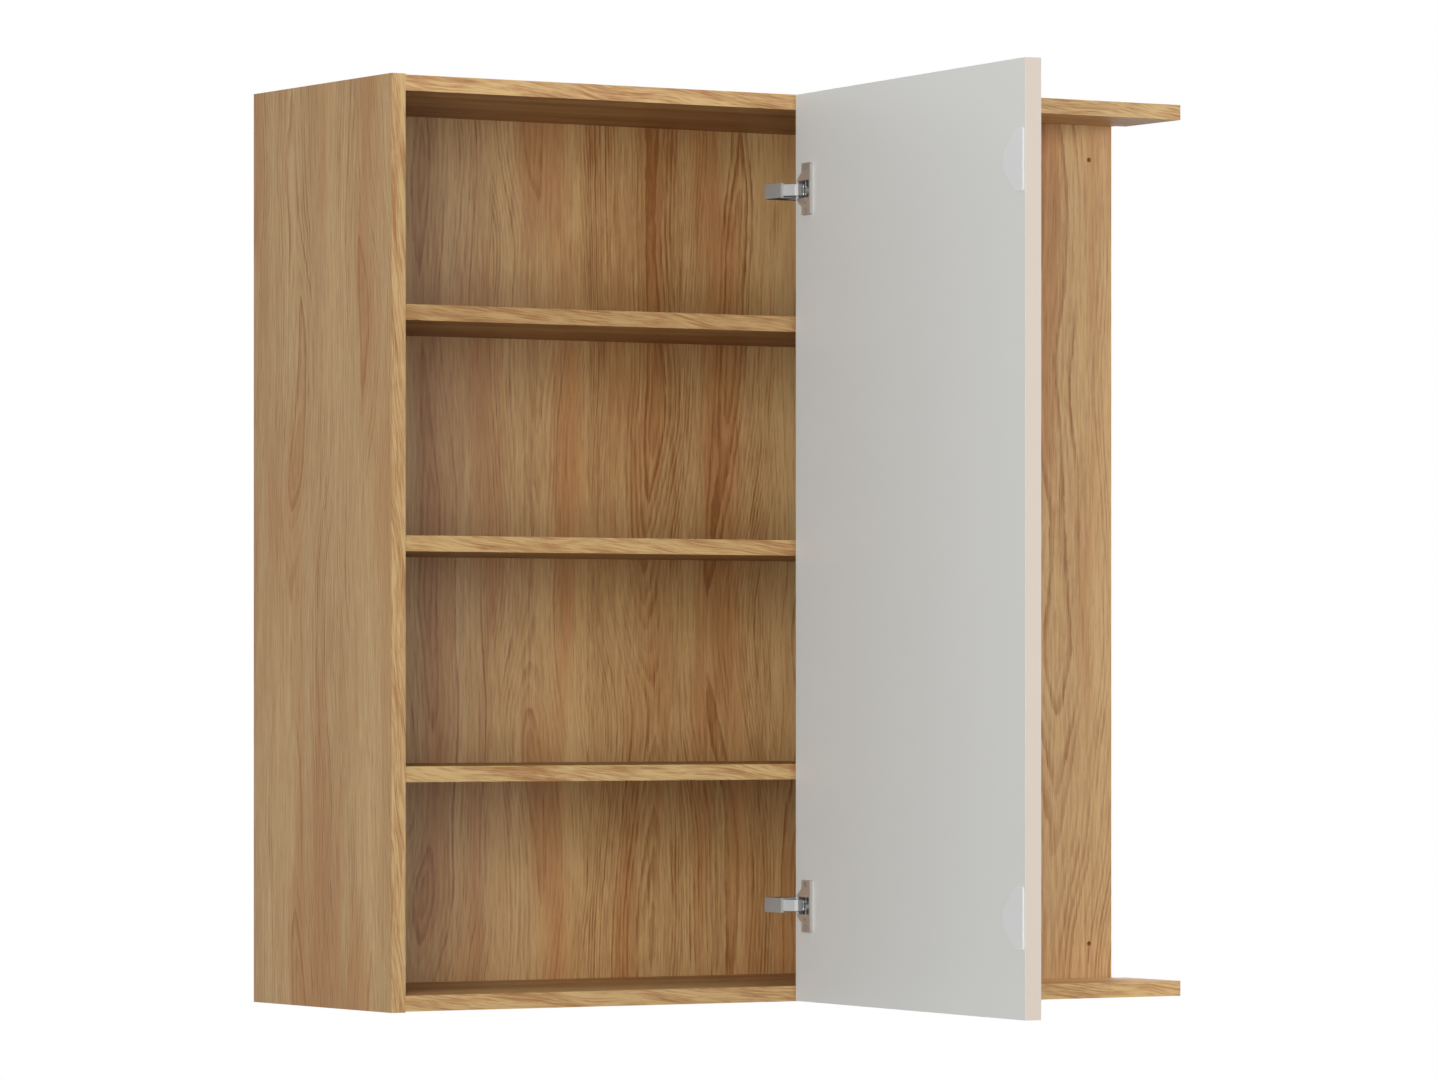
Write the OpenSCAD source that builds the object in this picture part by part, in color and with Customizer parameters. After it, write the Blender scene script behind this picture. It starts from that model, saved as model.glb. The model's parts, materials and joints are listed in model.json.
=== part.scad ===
// Hanging wall cabinet for a corner: a carcass with a fixed blind panel on the right, three
// shelves, one door on concealed hinges, and return boards that bridge to the next cabinet.
// The frame: x runs along the wall, y = 0 is the wall and the front faces -y, z = 0 is the
// underside. The origin is the middle of the overall width.

/* [Carcass] */
// Overall width, from the left side to the end of the return boards
cabinet_w = 900; // [800:10:1100]
// Height of the left side
cabinet_h = 950; // [920:10:1050]
// Depth, from the wall to the front edges of the boards
carcass_d = 300; // [280:5:350]
// Thickness of the carcass boards
board_t = 16; // [15:1:18]
// How far the return boards pass the right side
overhang = 13; // [0:1:30]
// Step from the ends of the left side to the top and bottom panels
end_step = 1; // [0:0.5:3]

/* [Back] */
// Thickness of the back panel
back_t = 3; // [2.5:0.5:4]
// Free depth behind the back panel, where the wall hangers sit
back_recess = 13; // [13:1:20]
// Depth of the groove that holds the back panel
groove_depth = 7; // [5:1:8]
// Clearance of the back panel in its groove
groove_gap = 0.2; // [0.1:0.1:0.5]

/* [Shelves] */
// Height of the lowest shelf's underside
first_shelf_z = 233; // [200:1:240]
// Distance from one shelf to the next
shelf_pitch = 234; // [200:1:240]
// Gap between a shelf's end and the side
shelf_gap = 0.5; // [0.3:0.1:1.5]
// Step from the carcass front to the front of a shelf
shelf_setback = 2; // [0:0.5:8]
// Gap between a shelf and the blind panel or the back panel
shelf_notch_gap = 1; // [0.5:0.5:3]
// Diameter of a shelf pin
shelf_pin_d = 5; // [4:0.5:6]
// Length of a shelf pin in its side panel
shelf_pin_in = 9; // [7:0.5:11]
// Length of a shelf pin under the shelf
shelf_pin_out = 8; // [6:0.5:12]
// Distance from a shelf pin to the shelf's front or back edge
shelf_pin_edge = 37; // [25:1:60]

/* [Blind panel] */
// Step from the carcass front to the face of the blind panel
blind_setback = 8; // [4:0.5:12]
// Gap between the closed door's edge and the blind panel
blind_reveal = 2.5; // [1:0.5:6]
// Diameter of the two fixing holes in the blind panel
fixing_hole_d = 5; // [3:0.5:8]
// Distance from the fixing holes to the panel's right edge
fixing_hole_edge = 29; // [25:1:60]
// Distance from a fixing hole to the end of the panel
fixing_hole_end = 37; // [25:1:80]

/* [Return boards] */
// Length of the return boards
return_len = 300; // [200:10:340]
// How far the return boards stand in front of the carcass
return_d = 102.5; // [60:0.5:150]
// Step from the return boards' front edge to the upright between them
upright_setback = 1; // [0:0.5:10]

/* [Door] */
// Width of the door
door_w = 493; // [400:1:540]
// Thickness of the door with its skins
door_t = 18; // [17:0.5:22]
// Gap from the edge of the left side to the closed door
door_side_reveal = 1.5; // [1:0.5:4]
// Gap from the top and bottom of the cabinet to the door
door_end_reveal = 1.5; // [0.5:0.5:4]
// Gap between the carcass front and the closed door
door_gap = 3.2; // [3.2:0.1:4]
// Thickness of the door's edge bands
edge_band_t = 2; // [0.5:0.5:2]
// Angle at which the door stands at rest
door_open = 85.2; // [0:0.1:95]

/* [Hinges] */
// Distance from the door's end to the middle of a hinge
hinge_end = 100; // [80:1:110]
// Diameter of the hinge cup's boring
cup_d = 35; // [34.5:0.25:36]
// Depth of the hinge cup's boring
cup_depth = 12.6; // [12.2:0.1:13.5]
// Distance from the door's edge to the cup's boring
cup_edge = 3; // [2.8:0.1:4]
// Wall of the cup
cup_wall = 0.9; // [0.7:0.1:1]
// Thickness of the cup's screw flange
flange_t = 3.5; // [2:0.25:4]
// Width of the screw flange
flange_w = 18.8; // [17:0.2:20]
// Height of the screw flange
flange_h = 54; // [52:1:60]
// Height of the window in the cup's cover, where the arm passes
window_h = 18; // [17:0.5:19]
// Distance between the two screws of a flange
flange_screw_pitch = 45; // [44:0.5:46]
// Distance from the door's edge to the hinge pin's axis
pivot_edge = 7.6; // [7:0.1:7.6]
// Depth of the hinge pin's axis behind the door's inner face
pivot_depth = 8; // [8:0.1:8.3]
// Diameter of the hinge pins
hinge_pin_d = 2; // [1.6:0.1:2.2]
// Diameter of the link pins
link_pin_d = 1.4; // [1.2:0.1:1.5]
// Radial clearance of a running pin
pin_gap = 0.05; // [0.02:0.01:0.08]
// Radial clearance at the link's free eye
eye_gap = 0.7; // [0.65:0.05:0.8]
// Height of the hinge arm
arm_h = 15.4; // [14:0.2:16]
// Height of the arm's neck, which reaches into the cup
neck_h = 11.7; // [11.4:0.1:12]
// Thickness of the sheet of the arm
arm_sheet = 1.2; // [1:0.1:1.4]
// Length of the arm behind the blind panel
arm_reach = 57; // [55:1:60]
// Thickness of the mounting plate
plate_t = 2.5; // [2:0.5:4]
// Length of the mounting plate
plate_len = 30; // [28:1:34]
// Height of the mounting plate
plate_h = 48; // [46:1:60]

/* [Cover caps] */
// Width of a cover cap
cap_w = 40; // [38:0.5:42]
// Height of a cover cap
cap_h = 62; // [58:1:70]
// Thickness of a cover cap's plate
cap_t = 1.5; // [1:0.25:2.5]
// Distance from the door's edge to a cover cap
cap_edge = 3; // [2:0.25:3.5]

/* [Wall hangers] */
// Width of a hanger's housing
hanger_w = 44; // [40:1:60]
// Height of a hanger's housing
hanger_h = 64; // [60:1:80]
// Depth of a hanger's housing
hanger_d = 11; // [10.5:0.25:11.5]
// Distance from the top panel to a hanger's housing
hanger_drop = 8; // [4:1:20]
// Thickness of the hook plate
hook_t = 2.5; // [2:0.25:3]
// Gap in the hook for the wall rail
rail_gap = 3.6; // [3:0.1:3.8]

/* [Fittings] */
// Diameter of a dowel
dowel_d = 8; // [6:0.5:8]
// Length of a dowel
dowel_len = 30; // [24:1:34]
// Depth of a dowel in the face of a board
dowel_in = 11; // [9:0.5:12]
// Distance from the front edge of a panel's left end to its first dowel
end_dowel_front = 82; // [76:1:100]
// Distance from the back recess to the second dowel of that end
end_dowel_rear = 92; // [86:1:110]
// Distance from that front edge to the first cam
cam_front = 50; // [40:1:60]
// Distance from the back recess to the second cam
cam_rear = 60; // [50:1:70]
// Distance from the front edges to the right side's first screws
side_screw_front = 70; // [60:1:90]
// Distance from the back recess to the right side's second screws
side_screw_rear = 50; // [30:1:70]
// Distance from the blind panel's left edge to its first screws
blind_screw_left = 50; // [40:1:80]
// Distance from the right side's face to the blind panel's second screws
blind_screw_right = 90; // [70:1:110]
// Distance from the ends of the blind panel to its outer dowels
blind_dowel_end = 100; // [60:1:140]
// Distance from the return boards' left ends to their first dowels
return_dowel_left = 40; // [30:1:60]
// Distance from the right side's face to the return boards' last dowels
return_dowel_right = 25; // [20:1:50]
// Distance from the return boards' front edges to the upright's front dowels
upright_dowel_front = 25; // [20:1:35]
// Distance from the carcass front to the upright's rear dowels
upright_dowel_rear = 30; // [25:1:40]
// Distance from the ends of the upright to the outer dowels behind it
upright_dowel_end = 150; // [60:1:200]
// Radial clearance of a fitting in its hole
fit_gap = 0.05; // [0.02:0.01:0.1]
// Diameter of a cam lock
cam_d = 15; // [12:0.5:16]
// Depth of a cam lock
cam_h = 12.5; // [12:0.5:13]
// Distance from the end of a panel to a cam lock's middle
cam_reach = 34; // [30:1:36]
// Diameter of a cam bolt's shaft
cam_bolt_d = 6; // [5:0.5:7]
// Diameter of a board screw's shaft
board_screw_d = 5; // [4:0.5:6]
// Length of a board screw
board_screw_len = 50; // [40:1:55]
// Diameter of a small wood screw's shaft
wood_screw_d = 3.5; // [3:0.25:4]
// Length of a small wood screw
wood_screw_len = 13; // [10:0.5:14]

/* [Hidden] */
$fn = 48;
cut = 1;                        // how far a cutting tool passes a face

oak = [0.76, 0.58, 0.38];
cashmere = [0.88, 0.83, 0.77];
laminate = [0.88, 0.88, 0.86];
nickel = [0.72, 0.71, 0.69];
zinc = [0.62, 0.63, 0.64];
plastic = [0.93, 0.93, 0.92];
beech = [0.85, 0.72, 0.52];

// Planes of the carcass
left_x = -cabinet_w / 2;
inner_left_x = left_x + board_t;
outer_right_x = cabinet_w / 2 - overhang;
inner_right_x = outer_right_x - board_t;
front_y = -carcass_d;
back_front_y = -back_recess - back_t;
top_z = cabinet_h - end_step;
ceiling_z = top_z - board_t;
floor_z = end_step + board_t;
inner_h = ceiling_z - floor_z;
shelf_z = [for (i = [0:2]) first_shelf_z + i * shelf_pitch];

// The closed door, the blind panel behind its edge, and the hinge axis
door_edge_x = left_x + door_side_reveal + door_w;
door_h = cabinet_h - 2 * door_end_reveal;
door_inner_y = front_y - door_gap;
blind_x = door_edge_x + blind_reveal;
blind_w = outer_right_x - blind_x;
blind_y = front_y + blind_setback;
pivot_x = door_edge_x - pivot_edge;
pivot_y = door_inner_y - pivot_depth;
hinge_z = [door_end_reveal + door_h - hinge_end, door_end_reveal + hinge_end];

// The return boards
return_x = cabinet_w / 2 - return_len;
upright_d = return_d - upright_setback + blind_setback;

// Hinge frame: the origin is the hinge axis, x and y run as in the cabinet's frame
cup_x = pivot_edge - cup_edge - cup_d / 2;
cup_r = cup_d / 2 - fit_gap;
cup_floor_y = pivot_depth - cup_depth;
rim_t = 1.5;
rim_w = 0.4;
flange_x = cup_x - cup_d / 2 - rim_w;
flange_screw_x = flange_x + flange_w / 2;
flange_corner_r = 1.5;
window_x = cup_x - 15.5;
vent_d = 2.2;                   // hole in the cup's cover
vent_at = [cup_x - 5.5, -14];
carcass_front_y = pivot_depth + door_gap;
panel_face_y = carcass_front_y + blind_setback;
plate_y = panel_face_y + board_t;
arm_y = plate_y + plate_t;
arm_back_y = arm_y + 9.5;
panel_edge_x = pivot_edge + blind_reveal;
nose_x = cup_x - 10.9;
nose_w = 23.1;
nose_right_x = nose_x + nose_w;
nose_rib = 3.2;                 // width of the nose's tall front edge
nose_step = 0.4;                // step from the carcass front to the nose's front plate
nose_chamfer = [8, 3.6];
neck_right_x = -11.5;
arm_end_x = panel_edge_x + arm_reach;
plate_x = panel_edge_x + 7;
plate_screw_pitch = 32;
boss_h = 5.5;
knuckle_r = 1.7;
stub_in = 3.2;                  // half the space kept free between the two stub pins
stub_out = sqrt(cup_r * cup_r - pow(hinge_pin_d / 2 - cup_x, 2)) - 0.05;
lug_t = 1.2;
lug_z = 3.2;
link_h = 6;
link_bar = 1.6;
link_knee = 0.1;                // how far the round knees stand out of the bar
link_joint = [-14.5, 14];
link_tip = [0, 3];              // the link's pin in the cup, with the door closed
link_reach = 17.75;
link_aim = -49.7;               // direction of the link with the door at link_pose
link_pose = 85.2;
link_ratio = 0.15;              // turn of the link for each degree of the door
link_eye_r = link_pin_d / 2 + eye_gap;

// A round tool or pin along x, y or z that starts at its base
module rod_x(d, len) { rotate([0, 90, 0]) cylinder(d = d, h = len); }
module rod_y(d, len) { rotate([-90, 0, 0]) cylinder(d = d, h = len); }
module rod_z(d, len) { cylinder(d = d, h = len); }

// ---- joints of the carcass -------------------------------------------------------------

// Places along the depth for two cams and two dowels on one panel end
cam_y = [front_y + cam_front, -back_recess - cam_rear];
end_dowel_y = [front_y + end_dowel_front, -back_recess - end_dowel_rear];

// Calls its children at each joint of the left side: the top panel, then the bottom panel
module at_left_joints() {
  translate([inner_left_x, 0, ceiling_z + board_t / 2]) children();
  translate([inner_left_x, 0, floor_z - board_t / 2]) mirror([0, 0, 1]) children();
}

// Dowel seen from a board's face: dowel_in behind the face, the rest in front along +x
module dowel_x(gap) {
  extra = gap > 0 ? 0.5 : 0;
  translate([-dowel_in - extra, 0, 0]) rod_x(dowel_d + 2 * gap, dowel_len + 2 * extra);
}

module left_dowels(gap) {
  at_left_joints() for (y = end_dowel_y) translate([0, y, 0]) dowel_x(gap);
}

cam_bolt_in = 10;
cam_head_d = cam_bolt_d + 1;
cam_slot = 0.3;

// Cam bolt: a threaded end in the side, a shaft and a head inside the cam
module cam_bolt() {
  translate([-cam_bolt_in, 0, 0]) rod_x(cam_bolt_d - 1, cam_bolt_in);
  rod_x(cam_bolt_d, cam_reach - 6);
  translate([cam_reach - 6, 0, 0]) rod_x(cam_bolt_d - 2.5, 4);
  translate([cam_reach - 2, 0, 0]) rod_x(cam_bolt_d - 1, 3);
}

// Cam lock: a round housing, hollow where the bolt's head enters
module cam_lock() {
  translate([cam_reach, 0, board_t / 2 - cam_h]) difference() {
    rod_z(cam_d, cam_h);
    translate([-cam_d, 0, cam_h - board_t / 2]) rod_x(cam_head_d, cam_d + 2);
    translate([0, 0, cam_h - 2]) cube([cam_d * 0.6, 1.4, 5], center = true);
    translate([0, 0, cam_h - 2]) cube([1.4, cam_d * 0.6, 5], center = true);
  }
}

// What the cams need cut out of a side and out of a panel
module cam_cuts(in_side) {
  at_left_joints() for (y = cam_y) translate([0, y, 0]) {
    if (in_side) {
      translate([-cam_bolt_in - 0.5, 0, 0]) rod_x(cam_bolt_d - 1 + 2 * fit_gap, cam_bolt_in + 1);
    } else {
      translate([-cut, 0, 0]) rod_x(cam_head_d + 0.5, cam_reach + cut);
      translate([cam_reach, 0, board_t / 2 - cam_h - 0.2])
        rod_z(cam_d + 2 * fit_gap, cam_h + 0.2 + cut);
    }
  }
}

// Board screws go down through the top panel and up through the bottom panel
screw_head_d = 2 * board_screw_d;
screw_head_h = 3;
right_screw_y = [front_y + side_screw_front, -back_recess - side_screw_rear];
blind_screw_x = [blind_x + blind_screw_left, outer_right_x - blind_screw_right];
blind_screw_y = blind_y + board_t / 2;

module board_screw(gap) {
  extra = gap > 0 ? cut : 0;
  translate([0, 0, -board_screw_len - gap]) rod_z(board_screw_d + 2 * gap, board_screw_len);
  translate([0, 0, -screw_head_h - gap]) rod_z(screw_head_d + 2 * gap, screw_head_h + gap + extra);
}

module board_screw_set(gap) {
  for (end = [0, 1]) translate([0, 0, end * cabinet_h]) mirror([0, 0, 1 - end])
    translate([0, 0, -end_step]) {
      for (y = right_screw_y) translate([outer_right_x - board_t / 2, y, 0]) board_screw(gap);
      for (x = blind_screw_x) translate([x, blind_screw_y, 0]) board_screw(gap);
    }
}

// Dowels between the right side's front edge and the blind panel's rear
blind_dowel_z = [floor_z + blind_dowel_end, floor_z + inner_h / 2, ceiling_z - blind_dowel_end];

module blind_dowel_set(gap) {
  extra = gap > 0 ? 0.5 : 0;
  for (z = blind_dowel_z)
    translate([outer_right_x - board_t / 2, blind_y + board_t - dowel_in - extra, z])
      rod_y(dowel_d + 2 * gap, dowel_len + 2 * extra);
}

// Dowels of the return boards: into the top and bottom panels' edges, and into the upright
return_dowel_x =
  [return_x + return_dowel_left, return_x + return_len / 2, outer_right_x - return_dowel_right];
upright_dowel_y = [front_y - return_d + upright_dowel_front, front_y - upright_dowel_rear];
upright_dowel_z =
  [floor_z + upright_dowel_end, floor_z + inner_h / 2, ceiling_z - upright_dowel_end];
upright_x = return_x + board_t / 2;

module return_dowel_set(gap) {
  extra = gap > 0 ? 0.5 : 0;
  d = dowel_d + 2 * gap;
  for (z = [ceiling_z + board_t / 2, floor_z - board_t / 2], x = return_dowel_x)
    translate([x, front_y - dowel_len / 2 - extra, z]) rod_y(d, dowel_len + 2 * extra);
  for (y = upright_dowel_y) {
    translate([upright_x, y, ceiling_z + dowel_in - dowel_len - extra]) rod_z(d, dowel_len + 2 * extra);
    translate([upright_x, y, floor_z - dowel_in - extra]) rod_z(d, dowel_len + 2 * extra);
  }
  for (z = upright_dowel_z)
    translate([upright_x, blind_y + dowel_in - dowel_len - extra, z]) rod_y(d, dowel_len + 2 * extra);
}

// ---- carcass ---------------------------------------------------------------------------

// Space of the back panel, grown by a clearance, so that grooves and panel agree
module back_slab(gap) {
  depth = groove_depth + (gap > 0 ? 0.5 : 0);
  translate([inner_left_x - depth, back_front_y - gap, floor_z - depth])
    cube([inner_right_x - inner_left_x + 2 * depth, back_t + 2 * gap, inner_h + 2 * depth]);
}

module pin_holes(side) {
  x = side < 0 ? inner_left_x - shelf_pin_in - 0.5 : inner_right_x - cut;
  for (z = shelf_z, y = shelf_pin_y(side))
    translate([x, y, z - shelf_pin_d / 2]) rod_x(shelf_pin_d + 2 * fit_gap, shelf_pin_in + 0.5 + cut);
}

module left_side() {
  color(oak) difference() {
    translate([left_x, front_y, 0]) cube([board_t, carcass_d, cabinet_h]);
    back_slab(groove_gap);
    left_dowels(fit_gap);
    cam_cuts(true);
    pin_holes(-1);
    hanger_pegs(-1, fit_gap);
  }
}

module right_side() {
  color(oak) difference() {
    translate([inner_right_x, blind_y + board_t, floor_z])
      cube([board_t, carcass_d - blind_setback - board_t, inner_h]);
    back_slab(groove_gap);
    blind_dowel_set(fit_gap);
    board_screw_set(fit_gap);
    pin_holes(1);
    hanger_pegs(1, fit_gap);
  }
}

// Top or bottom panel: it ends against the left side and runs over the right side
module end_panel(z) {
  difference() {
    translate([inner_left_x, front_y, z]) cube([outer_right_x - inner_left_x, carcass_d, board_t]);
    back_slab(groove_gap);
    left_dowels(fit_gap);
    cam_cuts(false);
    board_screw_set(fit_gap);
    return_dowel_set(fit_gap);
  }
}

module top_panel() { color(oak) end_panel(ceiling_z); }
module bottom_panel() { color(oak) end_panel(end_step); }

module back_panel() { color(oak) back_slab(0); }

module blind_panel() {
  color(oak) difference() {
    translate([blind_x, blind_y, floor_z]) cube([blind_w, board_t, inner_h]);
    for (z = [floor_z + fixing_hole_end, ceiling_z - fixing_hole_end])
      translate([outer_right_x - fixing_hole_edge, blind_y - cut, z])
        rod_y(fixing_hole_d, board_t + 2 * cut);
    blind_dowel_set(fit_gap);
    board_screw_set(fit_gap);
    return_dowel_set(fit_gap);
    at_hinges() plate_screw_set(fit_gap);
  }
}

// ---- shelves ---------------------------------------------------------------------------

shelf_front_y = front_y + shelf_setback;
shelf_back_y = back_front_y - shelf_notch_gap;
shelf_notch_y = blind_y + board_t + shelf_notch_gap;

// Places along the depth of the pins in the left (-1) or right (1) side
function shelf_pin_y(side) =
  [(side < 0 ? shelf_front_y : shelf_notch_y) + shelf_pin_edge, shelf_back_y - shelf_pin_edge];

module shelf(i) {
  left = inner_left_x + shelf_gap;
  right = inner_right_x - shelf_gap;
  notch_x = blind_x - shelf_notch_gap;
  color(oak) translate([0, 0, shelf_z[i]]) linear_extrude(board_t) polygon([
    [left, shelf_front_y], [notch_x, shelf_front_y], [notch_x, shelf_notch_y],
    [right, shelf_notch_y], [right, shelf_back_y], [left, shelf_back_y]
  ]);
}

module shelf_pins() {
  color(zinc) for (z = shelf_z, side = [-1, 1], y = shelf_pin_y(side))
    translate([side < 0 ? inner_left_x : inner_right_x, y, z - shelf_pin_d / 2])
      mirror([side < 0 ? 0 : 1, 0, 0]) translate([-shelf_pin_in, 0, 0])
        rod_x(shelf_pin_d, shelf_pin_in + shelf_pin_out);
}

// ---- return boards ---------------------------------------------------------------------

module return_board(z) {
  color(oak) difference() {
    translate([return_x, front_y - return_d, z]) cube([return_len, return_d, board_t]);
    return_dowel_set(fit_gap);
  }
}

module return_upright() {
  color(oak) difference() {
    translate([return_x, blind_y - upright_d, floor_z]) cube([board_t, upright_d, inner_h]);
    return_dowel_set(fit_gap);
  }
}

// ---- door ------------------------------------------------------------------------------

// Turns the closed door's pieces about the hinge axis to the rest pose
module swing(angle = door_open) {
  translate([pivot_x, pivot_y, 0]) rotate([0, 0, angle]) translate([-pivot_x, -pivot_y, 0]) children();
}

// Calls its children in the hinge frame of each hinge, or of one of them
module at_hinge(i) { translate([pivot_x, pivot_y, hinge_z[i]]) children(); }
module at_hinges() {
  at_hinge(0) children();
  at_hinge(1) children();
}

// The same frame at the door's free edge, mirrored: the spare borings that the caps close
module at_cap(i) {
  translate([2 * left_x + 2 * door_side_reveal + door_w, 0, 0]) mirror([1, 0, 0]) at_hinge(i) children();
}

module door_blank(inset) {
  translate([left_x + door_side_reveal + inset, door_inner_y - door_t, door_end_reveal + inset])
    cube([door_w - 2 * inset, door_t, door_h - 2 * inset]);
}

// The cup's boring, from above the inner face down to its floor
module cup_boring() {
  translate([cup_x, cup_floor_y, 0]) rod_y(cup_d, cup_depth + cut);
}

module door_panel() {
  color(laminate) swing() difference() {
    door_blank(edge_band_t);
    at_hinges() cup_boring();
    at_cap(0) cup_boring();
    at_cap(1) cup_boring();
    at_hinges() cup_screw_set(fit_gap);
  }
}

// Four bands round the edge of the panel, the long ones running past the short ones
module door_edge_bands() {
  color(cashmere) swing() translate([left_x + door_side_reveal, door_inner_y - door_t, door_end_reveal]) {
    for (x = [0, door_w - edge_band_t]) translate([x, 0, 0]) cube([edge_band_t, door_t, door_h]);
    for (z = [0, door_h - edge_band_t])
      translate([edge_band_t, 0, z]) cube([door_w - 2 * edge_band_t, door_t, edge_band_t]);
  }
}

// Cover cap: a shield-shaped plate with a ring that presses into the spare boring
cap_corner_r = 1.5;
cap_shoulder_r = 6;
cap_shoulder = 18;
cap_nose_r = 18;
cap_ring_depth = 9;
cap_ring_wall = 1.5;

module cap_outline() {
  start = pivot_edge - cap_edge;
  hull() {
    for (side = [-1, 1]) {
      translate([start - cap_corner_r, side * (cap_h / 2 - cap_corner_r)]) circle(cap_corner_r, $fn = 32);
      translate([start - cap_shoulder + cap_shoulder_r, side * (cap_h / 2 - cap_shoulder_r)])
        circle(cap_shoulder_r, $fn = 32);
    }
    translate([start - cap_w + cap_nose_r, 0]) circle(cap_nose_r, $fn = 64);
  }
}

module cover_cap(i) {
  color(plastic) swing() at_cap(i) {
    translate([0, pivot_depth + cap_t, 0]) rotate([90, 0, 0]) linear_extrude(cap_t) cap_outline();
    translate([cup_x, pivot_depth - cap_ring_depth, 0]) difference() {
      rod_y(cup_d - 2 * fit_gap, cap_ring_depth);
      translate([0, -cut, 0]) rod_y(cup_d - 2 * fit_gap - 2 * cap_ring_wall, cap_ring_depth + cut);
    }
  }
}

// ---- hinges ----------------------------------------------------------------------------

// Two screws that hold the cup's flange to the door
cup_screw_head_d = 7;
cup_screw_head_h = 1.8;

module cup_screw_set(gap) {
  extra = gap > 0 ? cut : 0;
  for (side = [-1, 1]) translate([flange_screw_x, pivot_depth + flange_t, side * flange_screw_pitch / 2]) {
    translate([0, -wood_screw_len - gap, 0]) rod_y(wood_screw_d + 2 * gap, wood_screw_len + gap);
    translate([0, -cup_screw_head_h - gap, 0]) rod_y(cup_screw_head_d + 2 * gap, cup_screw_head_h + gap + extra);
  }
}

module cup_screws() {
  color(nickel) swing() at_hinges() difference() {
    cup_screw_set(0);
    for (side = [-1, 1], turn = [0, 90])
      translate([flange_screw_x, pivot_depth + flange_t, side * flange_screw_pitch / 2])
        rotate([0, turn, 0]) cube([3.6, 2.2, 0.9], center = true);
  }
}

// Cup: a round shell with a cover, a screw flange, and two lugs that hold the pins
module cup_shell() {
  translate([cup_x, cup_floor_y + fit_gap, 0]) rod_y(2 * cup_r, cup_depth - fit_gap);
  translate([cup_x, pivot_depth, 0]) rod_y(cup_d + 2 * rim_w, rim_t);
  translate([flange_x, pivot_depth + flange_t, 0]) rotate([90, 0, 0])
    linear_extrude(flange_t) flange_outline();
}

module flange_outline() {
  r = flange_corner_r;
  for (side = [-1, 1], x = [r, flange_w - r]) translate([x, side * (flange_h / 2 - r)]) circle(r);
  translate([0, -flange_h / 2 + r]) square([flange_w, flange_h - 2 * r]);
  translate([r, -flange_h / 2]) square([flange_w - 2 * r, flange_h]);
}

module cup_lug() {
  intersection() {
    linear_extrude(lug_t) {
      circle(hinge_pin_d / 2 + 0.6);
      translate(link_tip) circle(link_pin_d / 2 + 0.8);
      translate([-0.4, -hinge_pin_d / 2 - 0.6]) square([pivot_edge, link_tip[1] + hinge_pin_d / 2 + link_pin_d / 2 + 1.4]);
    }
    translate([cup_x, cup_floor_y, -lug_z - lug_t]) rod_y(2 * cup_r - cup_wall, cup_depth);
  }
}

module hinge_cup(i) {
  inner_r = cup_r - cup_wall;
  color(nickel) swing() at_hinge(i) difference() {
    union() {
      difference() {
        cup_shell();
        translate([cup_x, cup_floor_y + fit_gap + cup_wall, 0])
          rod_y(2 * inner_r, cup_depth - fit_gap - cup_wall);
        translate([window_x, pivot_depth - 0.3, -window_h / 2])
          cube([cup_d + 2 * rim_w, flange_t + cut, window_h]);
        translate([vent_at[0], pivot_depth - cut, vent_at[1]]) rod_y(vent_d, flange_t + 2 * cut);
      }
      for (side = [0, 1]) mirror([0, 0, side]) translate([0, 0, lug_z]) cup_lug();
    }
    translate([0, 0, -stub_out]) rod_z(hinge_pin_d, 2 * stub_out);
    translate([link_tip[0], link_tip[1], -lug_z - lug_t]) rod_z(link_pin_d, 2 * (lug_z + lug_t));
    cup_screw_set(fit_gap);
  }
}

// Stub pins of the hinge axis and the link's pin, all fixed in the cup
module hinge_pins() {
  color(zinc) swing() at_hinges() {
    for (z = [-stub_out, stub_in]) translate([0, 0, z]) rod_z(hinge_pin_d, stub_out - stub_in);
    translate([link_tip[0], link_tip[1], -lug_z - lug_t]) rod_z(link_pin_d, 2 * (lug_z + lug_t));
  }
}

// Arm, seen from above: nose, neck into the cup, and the channel behind the blind panel
module neck_outline() {
  difference() {
    union() {
      circle(knuckle_r);
      polygon([
        [nose_x + nose_rib, carcass_front_y], [-14.4, -0.4], [-11, -2.3], [-6.5, -2.3],
        [0, -knuckle_r], [0, knuckle_r], [-5, 1.2], [-10.5, 0.7], [neck_right_x, 5],
        [neck_right_x, carcass_front_y + nose_step], [nose_right_x, carcass_front_y + nose_step],
        [nose_right_x, panel_face_y], [nose_x, panel_face_y], [nose_x, carcass_front_y]
      ]);
    }
    circle(hinge_pin_d / 2 + pin_gap);
  }
}

module nose_outline() {
  polygon([
    [nose_x, carcass_front_y], [nose_x + nose_rib, carcass_front_y], [nose_x + nose_rib, panel_face_y],
    [nose_right_x, panel_face_y], [nose_right_x, arm_y], [arm_end_x, arm_y], [arm_end_x, arm_back_y],
    [nose_x + nose_chamfer[0], arm_back_y], [nose_x, arm_back_y - nose_chamfer[1]]
  ]);
}

// Hollow of the neck and nose, where the link moves
module link_room() {
  room_left = nose_x + arm_sheet;
  room_right = nose_right_x - arm_sheet;
  room_y = carcass_front_y + nose_step + arm_sheet;
  polygon([
    [room_left, room_y + 0.6], [room_left + nose_rib, room_y], [-13.8, 0.6], [-10.6, -1.2],
    [-6.5, -1.2], [-6.5, -4], [4, -4], [4, carcass_front_y - 0.5], [neck_right_x + 0.3, carcass_front_y - 0.5],
    [neck_right_x + 0.3, room_y], [room_right, room_y], [room_right, arm_y], [room_left, arm_y]
  ]);
}

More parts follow.
